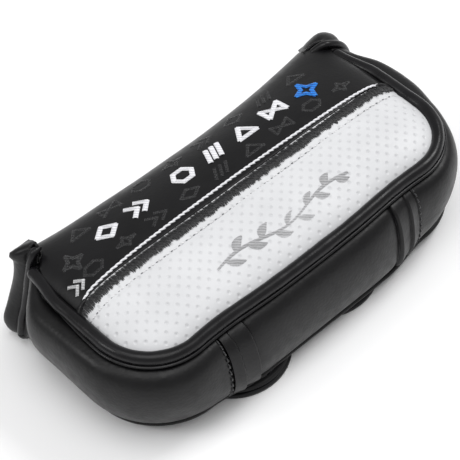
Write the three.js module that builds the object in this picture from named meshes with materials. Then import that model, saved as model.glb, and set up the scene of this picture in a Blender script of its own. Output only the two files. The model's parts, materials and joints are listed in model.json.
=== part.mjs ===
// Putter head cover: a padded pouch with a crowned, piped front and a deep gusset
// on three sides, closed by a flap that folds over the mouth and under the back.
//
// Millimetres. The cover lies on its back: +X runs along the putter head, +Y points
// to the mouth and +Z comes out of the front. Every piece is shaped in this one
// frame, whose origin is in the middle of the bottom of the whole cover.

import * as THREE from "three";
import { mergeVertices } from "three/addons/utils/BufferGeometryUtils.js";

// ---- Driving dimensions ----------------------------------------------------

const GAP = 0.3; // clearance kept between touching pieces
const SKIN = 1.2; // synthetic leather with its backing
const LINING = 1.0; // plush lining

// The rim is the line of the front piping, seen from above: straight down one end,
// round a corner, along the sole side, round a corner and up the other end.
const HALF_LENGTH = 69;
const NEAR_Y = -29.7;
const END_Y = 26.8;
const CORNER = 21;
const RIM_Z = 35.2;
const PIPING = 2.2; // outer radius
const PIPING_CORD = 1.1; // radius of the cord inside it

// Front: a pillow that is highest in the middle.
const FRONT_MARGIN = 2.7; // from the rim to the edge of the front skin
const FRONT_EDGE_Z = 36.2;
const FRONT_CROWN = 6.6;
const FRONT_DROP = 1.0; // at the mouth
const FRONT_CORNER = 18; // at the sole side
const FRONT_FAR_CORNER = 8; // at the mouth
const SEAM_Y = 4.4; // join of the black and the white leather
const RIBBON_WIDTH = 7;
const RIBBON = 0.5; // thickness
const RIBBON_MARGIN = 1;
const FRONT_FOAM = 3.0;
const FRONT_CLEAR = 0.8; // between its layers, whose crowns are faceted
const FRONT_FOAM_MARGIN = 4.8;
const FRONT_FOAM_END = 1.5; // short of the fold

// Gusset: its section bulges out between the front piping and the back seam.
const GUSSET_TOP = [0.4, 32.4]; // out from the rim, and height
const GUSSET_BULGE = [8.0, 27.0, 10.6, 7.0]; // the two control points of its curve
const GUSSET_FOOT = [1.0, 6.0];
const GUSSET_FOAM = 3.6;
const PLEAT_INNER_X = 31.5; // half the smooth middle wall
const PLEAT_FOLD_X = 37.5;
const PLEAT_OUTER_X = 41.7;
const PLEAT_LIFT = 0.7; // how far the pleat stands proud at its fold

// Collars: the turned ends of the gusset, which flare up over the front's corners.
const COLLAR_THICKNESS = 2.4;
const COLLAR_END_Y = 35.3;
const COLLAR_TOP = [-9.0, 40.2];
const COLLAR_BULGE = [3.0, 42.8, 8.0, 14.0];
const COLLAR_FOOT = [3.0, 4.6];
const COLLAR_BINDING_WIDTH = 2.2;
const COLLAR_BINDING = 0.9; // thickness
const COLLAR_BINDING_INSET = 1;

// Back, from its outer face up.
const BACK_Z = 4.0;
const BACK_FOAM = 3.0;
const BACK_FOAM_MARGIN = 2.3;
const BACK_END_Y = 28.8;
const EDGE_STRIP_WIDTH = 3.0;
const EDGE_STRIP = 1.3; // thickness
const KEEPER_RADIUS = 9;
const KEEPER = 1.2; // thickness
const KEEPER_EDGE = 2; // least foam between a keeper and the edge
const MOUTH_BINDING_HALF = 60;

// Flap: hinges on a fold at the front's mouth edge and on one at the back's.
const TOP_FOLD = [32.0, 34.6]; // y and z of the first fold's axis
const LOW_FOLD = [34.8, 0.6]; // y and z of the second
const FOLD_CLEAR = 0.8; // from a fold's axis to the skin on either side of it
const BAND_BULGE = [37.8, 31.0, 39.3, 8.0]; // y and z of its two control points
const BAND_HALF_TOP = 57;
const BAND_HALF_LOW = 52;
const BAND_FOAM = 1.8;
const BAND_FOAM_RUN = [0.14, 0.86]; // its share of the run between the folds
const BAND_FOAM_MARGIN = 3;
const FLAP_ASKEW = -5.5; // how far its near end lies off the middle
const FLAP_HALF_END = 41.5; // half width of that end
const FLAP_END_Y = -26.2; // where its rounded ends start
const FLAP_STIFFENER = 1.0;
const FLAP_LINING = 0.8;
const LOBE_SPREAD = 21.5; // of the rounded ends' centres, either side of its middle
const LOBE_X = [FLAP_ASKEW - LOBE_SPREAD, FLAP_ASKEW + LOBE_SPREAD];
const LOBE_REACH_Y = [-38.0, -36.8];
const LOBE_RADIUS = 19.5;
const LOBE_EDGE = 2.5; // from the skin's edge to the stiffener's
const FACING_EDGE = 0.6; // and to the facing's
const MAGNET_RADIUS = 8;
const MAGNET_OFFSET = 4; // nearer the sole side than the rounded end's centre

// ---- How finely the curved pieces are cut -----------------------------------

const CORNER_STEPS = 5;
const FRONT_COLUMNS = 16;
const FRONT_ROWS = 6;
const GUSSET_ROWS = 7;
const COLLAR_ROWS = 9;
const BAND_COLUMNS = 4;
const BAND_ROWS = 7;
const PIPING_STEPS = 36;
const PIPING_SIDES = 8;
const OUTLINE_STEPS = 12;
const DISC_SIDES = 24;

// ---- Helpers ---------------------------------------------------------------

const point = (x, y, z) => new THREE.Vector3(x, y, z);
const mix = THREE.MathUtils.lerp;

function solid(geometry) {
  geometry.deleteAttribute("normal");
  geometry.deleteAttribute("uv");
  const welded = mergeVertices(geometry, 1e-4);
  welded.computeVertexNormals();
  return welded;
}

// A box grid bent into a shape: place(column, row, depth) is given the station
// values of each grid corner, and depth runs from 0 inside to 1 outside.
function bentGrid(columns, rows, place) {
  const box = new THREE.BoxGeometry(1, 1, 1, columns.length - 1, rows.length - 1, 1);
  const corners = box.attributes.position;
  for (let i = 0; i < corners.count; i += 1) {
    const column = columns[Math.round((corners.getX(i) + 0.5) * (columns.length - 1))];
    const row = rows[Math.round((corners.getY(i) + 0.5) * (rows.length - 1))];
    const at = place(column, row, corners.getZ(i) + 0.5);
    corners.setXYZ(i, at.x, at.y, at.z);
  }
  return solid(box);
}

function evenly(low, high, steps) {
  return Array.from({ length: steps + 1 }, (_, i) => mix(low, high, i / steps));
}

// A flat outline given thickness, from the height z upwards.
function plate(outline, z, thickness) {
  const geometry = new THREE.ExtrudeGeometry(outline, {
    depth: thickness,
    bevelEnabled: false,
    curveSegments: OUTLINE_STEPS,
  });
  geometry.translate(0, 0, z);
  return solid(geometry);
}

function circlePath(x, y, radius) {
  return new THREE.Path().absarc(x, y, radius, 0, 2 * Math.PI, true);
}

function disc(x, y, z, radius, thickness) {
  const geometry = new THREE.CylinderGeometry(radius, radius, thickness, DISC_SIDES);
  geometry.rotateX(Math.PI / 2);
  geometry.translate(x, y, z + thickness / 2);
  return solid(geometry);
}

// ---- The rim ---------------------------------------------------------------

// Distances along the rim are counted from the middle of the sole side.
const SOLE_HALF = HALF_LENGTH - CORNER;
const CORNER_ARC = (Math.PI / 2) * CORNER;
const END_STRAIGHT = END_Y - NEAR_Y - CORNER;
const RIM_HALF = SOLE_HALF + CORNER_ARC + END_STRAIGHT;

// The point at a distance along the rim, moved out from it and set at a height.
function rimPoint(distance, out, z) {
  const side = Math.sign(distance) || 1;
  const along = Math.abs(distance);
  if (along <= SOLE_HALF) {
    return point(side * along, NEAR_Y - out, z);
  }
  if (along >= SOLE_HALF + CORNER_ARC) {
    const climbed = along - SOLE_HALF - CORNER_ARC;
    return point(side * (HALF_LENGTH + out), NEAR_Y + CORNER + climbed, z);
  }
  const turn = (along - SOLE_HALF) / CORNER;
  const reach = CORNER + out;
  return point(
    side * (SOLE_HALF + reach * Math.sin(turn)),
    NEAR_Y + CORNER - reach * Math.cos(turn),
    z,
  );
}

const RIM_STATIONS = [0];
for (let step = 0; step <= CORNER_STEPS; step += 1) {
  const distance = SOLE_HALF + (CORNER_ARC * step) / CORNER_STEPS;
  RIM_STATIONS.push(distance, -distance);
}

function rimStations(from, to, extra = []) {
  const between = [...RIM_STATIONS, ...extra].filter((s) => s > from && s < to);
  return [from, ...between.sort((a, b) => a - b), to];
}

class RimCurve extends THREE.Curve {
  getPoint(t) {
    return rimPoint(mix(-RIM_HALF, RIM_HALF, t), 0, RIM_Z);
  }
}

// ---- Curved sections -------------------------------------------------------

// A section curve from a top point past two control points to a foot. Its points
// are (out, z), and depth moves them square to the curve, out of the cover.
class Section {
  constructor(top, bulge, foot) {
    this.curve = new THREE.CubicBezierCurve(
      new THREE.Vector2(...top),
      new THREE.Vector2(bulge[0], bulge[1]),
      new THREE.Vector2(bulge[2], bulge[3]),
      new THREE.Vector2(...foot),
    );
  }

  at(t, depth) {
    const here = this.curve.getPoint(t);
    const tangent = this.curve.getTangent(t);
    return new THREE.Vector2(here.x - tangent.y * depth, here.y + tangent.x * depth);
  }
}

const gussetSection = new Section(GUSSET_TOP, GUSSET_BULGE, GUSSET_FOOT);
const collarSection = new Section(COLLAR_TOP, COLLAR_BULGE, COLLAR_FOOT);
const bandSection = new Section(
  [TOP_FOLD[0], TOP_FOLD[1] - FOLD_CLEAR],
  BAND_BULGE,
  [LOW_FOLD[0], LOW_FOLD[1] + FOLD_CLEAR],
);

// A layer of the gusset between two distances along the rim, from inner to outer
// millimetres beneath the gusset's outer face. lift(distance) raises it.
function gussetLayer(from, to, inner, outer, extra = [], lift = () => 0) {
  return bentGrid(rimStations(from, to, extra), evenly(1, 0, GUSSET_ROWS), (distance, t, w) => {
    const at = gussetSection.at(t, lift(distance) * Math.sin(Math.PI * t) + mix(inner, outer, w));
    return rimPoint(distance, at.x, at.y);
  });
}

// ---- The front -------------------------------------------------------------

const FRONT_HALF = HALF_LENGTH - FRONT_MARGIN;
const FRONT_NEAR = NEAR_Y + FRONT_MARGIN;
const FRONT_FAR = TOP_FOLD[0] - FOLD_CLEAR;

function frontHeight(x, y) {
  const across = x / FRONT_HALF;
  const along = (2 * y - FRONT_NEAR - FRONT_FAR) / (FRONT_FAR - FRONT_NEAR);
  const crown = FRONT_CROWN * (1 - across ** 4) * (1 - along ** 2);
  return FRONT_EDGE_Z + crown - FRONT_DROP * Math.max(0, along);
}

// Half the front's length at y, with its four round corners, less a margin.
function frontHalfAt(y, margin) {
  const half = FRONT_HALF - margin;
  const nearer = 2 * y < FRONT_NEAR + FRONT_FAR;
  const fromEdge = nearer ? y - FRONT_NEAR - margin : FRONT_FAR - y;
  const radius = (nearer ? FRONT_CORNER : FRONT_FAR_CORNER) - margin;
  if (fromEdge >= radius) {
    return half;
  }
  const short = radius - Math.max(0, fromEdge);
  return half - radius + Math.sqrt(Math.max(0, radius ** 2 - short ** 2));
}

// A layer of the front between two y values, beneath its outer face by inner to
// outer millimetres, its ends a margin inside the skin's.
function frontLayer(ys, inner, outer, margin) {
  return bentGrid(evenly(-1, 1, FRONT_COLUMNS), ys, (across, y, w) => {
    const x = across * frontHalfAt(y, margin);
    return point(x, y, frontHeight(x, y) + mix(inner, outer, w));
  });
}

// Rows that close up towards the rounded corners at both edges.
function frontRows(low, high, lowRound, highRound) {
  const rows = evenly(0, 1, FRONT_ROWS).map((t) => {
    if (lowRound && highRound) {
      return 0.5 - 0.5 * Math.cos(Math.PI * t);
    }
    return lowRound ? 1 - Math.cos((Math.PI / 2) * t) : Math.sin((Math.PI / 2) * t);
  });
  return rows.map((t) => mix(low, high, t));
}

// ---- The back and the flap -------------------------------------------------

// The back's outline follows the rim, moved in by a margin.
function backOutline(margin) {
  const outline = new THREE.Shape();
  const half = HALF_LENGTH - margin;
  const radius = CORNER - margin;
  outline.moveTo(half, BACK_END_Y);
  outline.lineTo(-half, BACK_END_Y);
  outline.lineTo(-half, NEAR_Y + CORNER);
  outline.absarc(-SOLE_HALF, NEAR_Y + CORNER, radius, Math.PI, 1.5 * Math.PI, false);
  outline.lineTo(SOLE_HALF, NEAR_Y + margin);
  outline.absarc(SOLE_HALF, NEAR_Y + CORNER, radius, 1.5 * Math.PI, 2 * Math.PI, false);
  return outline;
}

// The flap's outline narrows from the fold to a straight end with two rounded ends
// on it, each an arc that reaches past the sole side.
function flapOutline(margin) {
  const outline = new THREE.Shape();
  const radius = LOBE_RADIUS - margin;
  const end = FLAP_END_Y + margin;
  const farY = LOW_FOLD[0] - FOLD_CLEAR - margin;
  outline.moveTo(BAND_HALF_LOW - margin, farY);
  outline.lineTo(-BAND_HALF_LOW + margin, farY);
  outline.lineTo(FLAP_ASKEW - FLAP_HALF_END + margin, end);
  LOBE_X.forEach((x, i) => {
    const centreY = LOBE_REACH_Y[i] + LOBE_RADIUS;
    const dip = Math.asin((centreY - end) / radius);
    outline.absarc(x, centreY, radius, Math.PI + dip, 2 * Math.PI - dip, false);
  });
  outline.lineTo(FLAP_ASKEW + FLAP_HALF_END - margin, end);
  return outline;
}

function magnetCentres() {
  return LOBE_X.map((x, i) => [x, LOBE_REACH_Y[i] + LOBE_RADIUS - MAGNET_OFFSET]);
}

// The flap over the mouth, beneath its outer face by inner to outer millimetres.
function bandLayer(inner, outer, start, stop, margin) {
  return bentGrid(evenly(-1, 1, BAND_COLUMNS), evenly(start, stop, BAND_ROWS), (across, t, w) => {
    const half = mix(BAND_HALF_TOP, BAND_HALF_LOW, t) - margin;
    const at = bandSection.at(t, mix(inner, outer, w));
    return point(across * half, at.x, at.y);
  });
}

// ---- Materials -------------------------------------------------------------

function finish(color, roughness, metalness = 0) {
  return () => new THREE.MeshStandardMaterial({ color, roughness, metalness });
}

const blackLeather = finish(0x1f2023, 0.48);
const whiteLeather = finish(0xf1f2f4, 0.5);
const satinRibbon = finish(0x17181a, 0.35);
const plush = finish(0x35363a, 0.95);
const foam = finish(0x8f9296, 0.9);
const cotton = finish(0xd9d6cc, 0.9);
const board = finish(0x6d6f72, 0.7);
const steel = finish(0xb9bcc0, 0.35, 1);

// ---- Assembly --------------------------------------------------------------

const cover = new THREE.Group();
const pouch = new THREE.Group();
const flapBand = new THREE.Group();
const flapBack = new THREE.Group();
cover.add(pouch);
pouch.add(flapBand);
flapBand.add(flapBack);

function add(parent, name, geometry, material) {
  const mesh = new THREE.Mesh(geometry, material());
  mesh.name = name;
  parent.add(mesh);
}

function addFront() {
  const upper = frontRows(SEAM_Y + GAP / 2, FRONT_FAR, false, true);
  const lower = frontRows(FRONT_NEAR, SEAM_Y - GAP / 2, true, false);
  const ribbon = evenly(SEAM_Y - RIBBON_WIDTH / 2, SEAM_Y + RIBBON_WIDTH / 2, 2);
  const foamNear = FRONT_NEAR + FRONT_FOAM_MARGIN - FRONT_MARGIN;
  const inside = frontRows(foamNear, FRONT_FAR - FRONT_FOAM_END, true, true);
  const foamTop = -SKIN - FRONT_CLEAR;
  const foamFoot = foamTop - FRONT_FOAM;
  const liningTop = foamFoot - FRONT_CLEAR;
  const margin = FRONT_FOAM_MARGIN - FRONT_MARGIN;
  add(pouch, "front_panel_upper", frontLayer(upper, -SKIN, 0, 0), blackLeather);
  add(pouch, "front_panel_lower", frontLayer(lower, -SKIN, 0, 0), whiteLeather);
  add(pouch, "seam_ribbon", frontLayer(ribbon, GAP, GAP + RIBBON, RIBBON_MARGIN), satinRibbon);
  add(pouch, "front_foam", frontLayer(inside, foamFoot, foamTop, margin), foam);
  add(
    pouch,
    "front_lining",
    frontLayer(inside, liningTop - LINING, liningTop, margin),
    plush,
  );
}

function addPiping() {
  const ring = new THREE.Shape().absarc(0, 0, PIPING, 0, 2 * Math.PI, false);
  ring.holes.push(circlePath(0, 0, PIPING_CORD + GAP));
  const core = new THREE.Shape().absarc(0, 0, PIPING_CORD, 0, 2 * Math.PI, false);
  const along = { steps: PIPING_STEPS, curveSegments: PIPING_SIDES, extrudePath: new RimCurve() };
  add(pouch, "front_piping", solid(new THREE.ExtrudeGeometry(ring, along)), blackLeather);
  add(pouch, "front_piping_cord", solid(new THREE.ExtrudeGeometry(core, along)), cotton);
}

function addGusset() {
  const foamOuter = -SKIN - GAP;
  const foamInner = foamOuter - GUSSET_FOAM;
  const liningOuter = foamInner - GAP;
  const half = GAP / 2;
  add(
    pouch,
    "gusset_left",
    gussetLayer(-RIM_HALF, -PLEAT_OUTER_X - half, -SKIN, 0),
    blackLeather,
  );
  add(
    pouch,
    "gusset_middle",
    gussetLayer(-PLEAT_INNER_X + half, PLEAT_INNER_X - half, -SKIN, 0),
    blackLeather,
  );
  add(
    pouch,
    "gusset_right",
    gussetLayer(PLEAT_OUTER_X + half, RIM_HALF, -SKIN, 0),
    blackLeather,
  );
  // Each pleat rises to its fold and falls back to the middle wall.
  const lift = (distance) => {
    const x = Math.abs(distance);
    const rise = x > PLEAT_FOLD_X ? PLEAT_OUTER_X - x : x - PLEAT_INNER_X;
    const run = x > PLEAT_FOLD_X ? PLEAT_OUTER_X - PLEAT_FOLD_X : PLEAT_FOLD_X - PLEAT_INNER_X;
    return (PLEAT_LIFT * Math.max(0, rise)) / run;
  };
  add(
    pouch,
    "pleat_left",
    gussetLayer(-PLEAT_OUTER_X + half, -PLEAT_INNER_X - half, -SKIN, 0, [-PLEAT_FOLD_X], lift),
    blackLeather,
  );
  add(
    pouch,
    "pleat_right",
    gussetLayer(PLEAT_INNER_X + half, PLEAT_OUTER_X - half, -SKIN, 0, [PLEAT_FOLD_X], lift),
    blackLeather,
  );
  add(pouch, "gusset_foam", gussetLayer(-RIM_HALF, RIM_HALF, foamInner, foamOuter), foam);
  add(
    pouch,
    "gusset_lining",
    gussetLayer(-RIM_HALF, RIM_HALF, liningOuter - LINING, liningOuter),
    plush,
  );
}

// A strip of collar between two y values, from inner to outer millimetres out of
// the collar's outer face, on the side that sign gives.
function collarLayer(sign, nearY, farY, inner, outer) {
  const columns = sign > 0 ? [nearY, farY] : [farY, nearY];
  return bentGrid(columns, evenly(1, 0, COLLAR_ROWS), (y, t, w) => {
    const at = collarSection.at(t, mix(inner, outer, w));
    return point(sign * (HALF_LENGTH + at.x), y, at.y);
  });
}

function addCollars() {
  for (const [side, sign] of [["left", -1], ["right", 1]]) {
    add(
      pouch,
      `collar_${side}`,
      collarLayer(sign, END_Y + GAP, COLLAR_END_Y, -COLLAR_THICKNESS, 0),
      blackLeather,
    );
    const bindingY = COLLAR_END_Y - COLLAR_BINDING_INSET;
    add(
      pouch,
      `collar_${side}_binding`,
      collarLayer(sign, bindingY - COLLAR_BINDING_WIDTH, bindingY, GAP, GAP + COLLAR_BINDING),
      blackLeather,
    );
  }
}

function addBack() {
  const foamZ = BACK_Z + SKIN + GAP;
  const liningZ = foamZ + BACK_FOAM + GAP;
  const backFoam = backOutline(BACK_FOAM_MARGIN);
  const nearest = NEAR_Y + BACK_FOAM_MARGIN + KEEPER_RADIUS + KEEPER_EDGE;
  const keepers = magnetCentres().map(([x, y]) => [x, Math.max(y, nearest)]);
  for (const [x, y] of keepers) {
    backFoam.holes.push(circlePath(x, y, KEEPER_RADIUS + GAP));
  }
  add(pouch, "back_panel", plate(backOutline(0), BACK_Z, SKIN), blackLeather);
  add(pouch, "back_foam", plate(backFoam, foamZ, BACK_FOAM), foam);
  add(pouch, "back_lining", plate(backOutline(BACK_FOAM_MARGIN), liningZ, LINING), plush);
  keepers.forEach(([x, y], i) => {
    const name = `keeper_disc_${i === 0 ? "left" : "right"}`;
    add(pouch, name, disc(x, y, foamZ, KEEPER_RADIUS, KEEPER), steel);
  });
  add(
    pouch,
    "back_edge_strip",
    bentGrid(rimStations(-RIM_HALF, RIM_HALF), [0, 1], (distance, row, w) =>
      rimPoint(distance, mix(GAP, GAP + EDGE_STRIP_WIDTH, w), BACK_Z + EDGE_STRIP * row),
    ),
    blackLeather,
  );
  const bindingHeight = liningZ + LINING - BACK_Z;
  const binding = new THREE.BoxGeometry(2 * MOUTH_BINDING_HALF, SKIN, bindingHeight);
  binding.translate(0, BACK_END_Y + GAP + SKIN / 2, BACK_Z + bindingHeight / 2);
  add(pouch, "mouth_binding", solid(binding), satinRibbon);
}

function addFlap() {
  const foamOuter = -SKIN - GAP;
  const foamInner = foamOuter - BAND_FOAM;
  const liningOuter = foamInner - GAP;
  add(flapBand, "flap_band_skin", bandLayer(-SKIN / 2, SKIN / 2, 0, 1, 0), blackLeather);
  add(
    flapBand,
    "flap_band_foam",
    bandLayer(foamInner, foamOuter, ...BAND_FOAM_RUN, BAND_FOAM_MARGIN),
    foam,
  );
  add(
    flapBand,
    "flap_band_lining",
    bandLayer(liningOuter - FLAP_LINING, liningOuter, ...BAND_FOAM_RUN, BAND_FOAM_MARGIN),
    plush,
  );

  const stiffenerZ = SKIN + GAP;
  const liningZ = stiffenerZ + FLAP_STIFFENER + GAP;
  const stiffener = flapOutline(LOBE_EDGE);
  for (const [x, y] of magnetCentres()) {
    stiffener.holes.push(circlePath(x, y, MAGNET_RADIUS + GAP));
  }
  add(flapBack, "flap_back_skin", plate(flapOutline(0), 0, SKIN), blackLeather);
  add(flapBack, "flap_back_stiffener", plate(stiffener, stiffenerZ, FLAP_STIFFENER), board);
  const facing = plate(flapOutline(FACING_EDGE), liningZ, FLAP_LINING);
  add(flapBack, "flap_back_lining", facing, blackLeather);
  magnetCentres().forEach(([x, y], i) => {
    const name = `magnet_${i === 0 ? "left" : "right"}`;
    add(flapBack, name, disc(x, y, stiffenerZ, MAGNET_RADIUS, FLAP_STIFFENER), steel);
  });
}

addFront();
addPiping();
addGusset();
addCollars();
addBack();
addFlap();

export default cover;
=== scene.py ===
# The visual model of the putter head cover, built round its CAD frame.
#
# Shapes are worked out in millimetres, in the frame's axes, and turned into metres
# when a mesh is made. +X runs along the putter head, +Y points to the mouth and +Z
# comes out of the front.
import json
import math

import bpy
import numpy as np
from mathutils import Matrix, Vector


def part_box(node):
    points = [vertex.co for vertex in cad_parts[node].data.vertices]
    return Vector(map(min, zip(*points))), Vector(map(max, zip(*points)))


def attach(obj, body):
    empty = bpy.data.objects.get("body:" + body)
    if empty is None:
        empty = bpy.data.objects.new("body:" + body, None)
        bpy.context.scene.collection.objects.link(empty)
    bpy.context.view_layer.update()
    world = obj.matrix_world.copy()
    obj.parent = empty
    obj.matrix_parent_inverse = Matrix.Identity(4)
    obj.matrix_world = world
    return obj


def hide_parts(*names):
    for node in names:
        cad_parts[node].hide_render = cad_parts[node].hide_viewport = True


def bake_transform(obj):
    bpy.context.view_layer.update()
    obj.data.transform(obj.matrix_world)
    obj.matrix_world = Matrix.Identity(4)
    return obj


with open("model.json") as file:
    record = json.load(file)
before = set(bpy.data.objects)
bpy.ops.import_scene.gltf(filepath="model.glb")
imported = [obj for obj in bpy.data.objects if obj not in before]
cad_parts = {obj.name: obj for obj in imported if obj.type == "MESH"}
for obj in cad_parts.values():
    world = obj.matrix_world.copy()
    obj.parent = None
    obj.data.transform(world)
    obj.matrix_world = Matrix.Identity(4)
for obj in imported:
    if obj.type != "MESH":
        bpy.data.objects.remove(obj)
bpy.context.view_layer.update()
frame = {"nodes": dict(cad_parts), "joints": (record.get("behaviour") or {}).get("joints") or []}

MM = 0.001
SIDES = (("left", -1), ("right", 1))


def box_mm(node):
    low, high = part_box(node)
    return np.array(low) / MM, np.array(high) / MM


def middle_mm(node):
    low, high = box_mm(node)
    return (low + high) / 2


# ---- Dimensions, from the frame ---------------------------------------------

PIPING_LOW, PIPING_HIGH = box_mm("front_piping")
PIPING = (PIPING_HIGH[2] - PIPING_LOW[2]) / 2
RIM_Z = (PIPING_HIGH[2] + PIPING_LOW[2]) / 2
HALF = PIPING_HIGH[0] - PIPING
NEAR_Y = PIPING_LOW[1] + PIPING
END_Y = PIPING_HIGH[1]
CORNER = 21.0
SOLE_HALF = HALF - CORNER
CORNER_ARC = math.pi / 2 * CORNER
RIM_HALF = SOLE_HALF + CORNER_ARC + END_Y - NEAR_Y - CORNER

SEAM_Y = middle_mm("seam_ribbon")[1]
CROWN_Z = box_mm("front_panel_lower")[1][2]
GUSSET_LOW, GUSSET_HIGH = box_mm("gusset_middle")
GUSSET_FOOT_Z, GUSSET_TOP_Z = GUSSET_LOW[2], GUSSET_HIGH[2]
BACK_LOW, BACK_HIGH = box_mm("back_panel")
FLAP_LOW, FLAP_HIGH = box_mm("flap_back_skin")
TOP_FOLD, LOW_FOLD = [np.array(joint["pos_m"]) / MM for joint in frame["joints"]]
MOUTH_Y = TOP_FOLD[1]
SKIN = FLAP_HIGH[2] - FLAP_LOW[2]

PLEAT_INNER = GUSSET_HIGH[0] + 0.15
PLEAT_OUTER = box_mm("pleat_right")[1][0] + 0.15
PLEAT_FOLD = PLEAT_INNER + 0.6 * (PLEAT_OUTER - PLEAT_INNER)
MAGNET_X = [middle_mm(node)[0] for node in ("magnet_left", "magnet_right")]

BAND_HALF_TOP = box_mm("flap_band_skin")[1][0] + 2.6
BAND_HALF_LOW = FLAP_HIGH[0]
LOBE_RADIUS = 19.5  # of the flap's two rounded ends
FACING_RISE = 3.5  # of the flap's inner face above its outer face

FRONT_RISE = 6.2  # of the crown above the edge
EDGE_RISE = 2.6  # of the edge's roll above the piping's flange
DOT_PITCH = 3.05  # of the white leather's pressed dots, along each side of their lattice
THREAD_GRAIN = 2600.0  # plies and bands to the metre
WEAVE_GRAIN = 1400.0
BAR_STEP = 0.3  # from one bar of an embroidered stroke to the next


# ---- Small sums -------------------------------------------------------------


def unit(vectors):
    return vectors / np.maximum(np.linalg.norm(vectors, axis=-1, keepdims=True), 1e-9)


def points_of(x, y, z):
    """Points from coordinates whose shapes fit together."""
    return np.stack(np.broadcast_arrays(x, y, z), -1)


def run_length(line):
    """How far along a line each of its points lies."""
    return np.concatenate([[0], np.cumsum(np.linalg.norm(np.diff(line, axis=0), axis=1))])


def eased(count):
    """Shares from -1 to 1 across a panel, closer together near its two edges."""
    return np.sin(np.linspace(-1, 1, count) * math.pi / 2 * 0.999)[None, :]


def smooth_step(low, high, value):
    t = np.clip((np.asarray(value, float) - low) / (high - low), 0, 1)
    return t * t * (3 - 2 * t)


def bezier(points, t):
    a, b, c, d = [np.asarray(p, float) for p in points]
    t = np.asarray(t, float)[..., None]
    return a * (1 - t) ** 3 + 3 * b * t * (1 - t) ** 2 + 3 * c * t * t * (1 - t) + d * t**3


def through(points, t):
    """A smooth curve through points; t runs from 0 to 1 over all of them."""
    p = np.asarray(points, float)
    p = np.concatenate([[2 * p[0] - p[1]], p, [2 * p[-1] - p[-2]]])
    at = np.clip(np.asarray(t, float), 0, 1) * (len(p) - 3)
    i = np.minimum(at.astype(int), len(p) - 4)
    f = (at - i)[..., None]
    a, b, c, d = p[i], p[i + 1], p[i + 2], p[i + 3]
    bend = (2 * a - 5 * b + 4 * c - d) * f**2 + (3 * b - a - 3 * c + d) * f**3
    return 0.5 * (2 * b + (c - a) * f + bend)


def wobble(x, y, scale, seed):
    """Smooth seeded unevenness of about one, as soft skins have."""
    r = np.random.default_rng(seed)
    total = np.zeros(np.broadcast(x, y).shape)
    for _ in range(5):
        angle, phase, stretch = r.uniform(0, math.tau), r.uniform(0, math.tau), r.uniform(0.6, 1.6)
        wave = (x * math.cos(angle) + y * math.sin(angle)) * stretch / scale
        total += np.sin(wave * math.tau + phase)
    return total / 2.2


# ---- Mesh helpers -----------------------------------------------------------


def settled(vertices):
    """The upper rim is drawn in a little where the long sole side meets its corners."""
    points = np.array(vertices, float)
    x, y, z = points.T
    near_corner = np.exp(-(((np.abs(x) - 40) / 17) ** 2))
    points[:, 1] += 1.3 * near_corner * smooth_step(-2, -24, y) * smooth_step(8, 26, z)
    return points


def new_object(name, vertices, faces, material, smooth=True):
    mesh = bpy.data.meshes.new(name)
    mesh.from_pydata((settled(vertices) * MM).tolist(), [], faces)
    mesh.validate()
    if smooth:
        mesh.polygons.foreach_set("use_smooth", [True] * len(mesh.polygons))
    mesh.materials.append(material)
    piece = bpy.data.objects.new(name, mesh)
    bpy.context.scene.collection.objects.link(piece)
    return piece


def grid_faces(rows, columns, start=0, wrap=False):
    faces = []
    for i in range(rows - 1):
        for j in range(columns if wrap else columns - 1):
            k = (j + 1) % columns
            a = start + i * columns
            faces.append((a + j, a + k, a + columns + k, a + columns + j))
    return faces


def normals_of(points):
    """Unit normals of a grid of points, rows along the first axis."""
    along = np.gradient(points, axis=0)
    across = np.gradient(points, axis=1)
    return unit(np.cross(along, across))


def sheet(name, points, thickness, material):
    """A closed skin of even thickness whose outer face is a grid of points."""
    rows, columns, _ = points.shape
    inner = points - normals_of(points) * thickness
    vertices = np.concatenate([points.reshape(-1, 3), inner.reshape(-1, 3)])
    count = rows * columns
    faces = grid_faces(rows, columns)
    faces += [tuple(reversed([v + count for v in f])) for f in grid_faces(rows, columns)]
    ring = [(0, j) for j in range(columns)]
    ring += [(i, columns - 1) for i in range(1, rows)]
    ring += [(rows - 1, j) for j in range(columns - 2, -1, -1)]
    ring += [(i, 0) for i in range(rows - 2, 0, -1)]
    loop = [i * columns + j for i, j in ring]
    for a, b in zip(loop, loop[1:] + loop[:1]):
        faces.append((b, a, a + count, b + count))
    return new_object(name, vertices, faces, material)


def tube(name, path, radius, material, sides, squash=1.0):
    """A closed round bar along a path of points, with domed ends. radius may vary."""
    vertices, faces = tube_parts(path, radius, sides, squash)
    return new_object(name, vertices, faces, material)


def tube_parts(path, radius, sides, squash=1.0, up=None, start=0):
    """Vertices and faces of a round bar; start is the number of its first vertex."""
    path = np.asarray(path, float)
    radii = np.broadcast_to(np.asarray(radius, float), (len(path),))
    tangent = unit(np.gradient(path, axis=0))
    guide = np.array([0.0, 0.0, 1.0]) if up is None else np.asarray(up, float)
    side = unit(np.cross(tangent, guide))
    rise = np.cross(side, tangent)
    turn = np.linspace(0, 2 * math.pi, sides, endpoint=False)[:, None]
    dome = [(-0.7, 0.45), (-0.4, 0.82)]
    last = len(path) - 1
    rings = [(path[0] + tangent[0] * radii[0] * e, radii[0] * s, 0) for e, s in dome]
    rings += [(path[i], radii[i], i) for i in range(len(path))]
    rings += [
        (path[last] - tangent[last] * radii[last] * e, radii[last] * s, last) for e, s in dome[::-1]
    ]
    vertices = np.concatenate([
        centre + size * np.cos(turn) * side[i] + size * squash * np.sin(turn) * rise[i]
        for centre, size, i in rings
    ])
    count = len(rings)
    faces = [tuple(reversed(f)) for f in grid_faces(count, sides, start, wrap=True)]
    faces.append(tuple(start + j for j in range(sides)))
    faces.append(tuple(start + (count - 1) * sides + j for j in reversed(range(sides))))
    return vertices, faces


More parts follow.
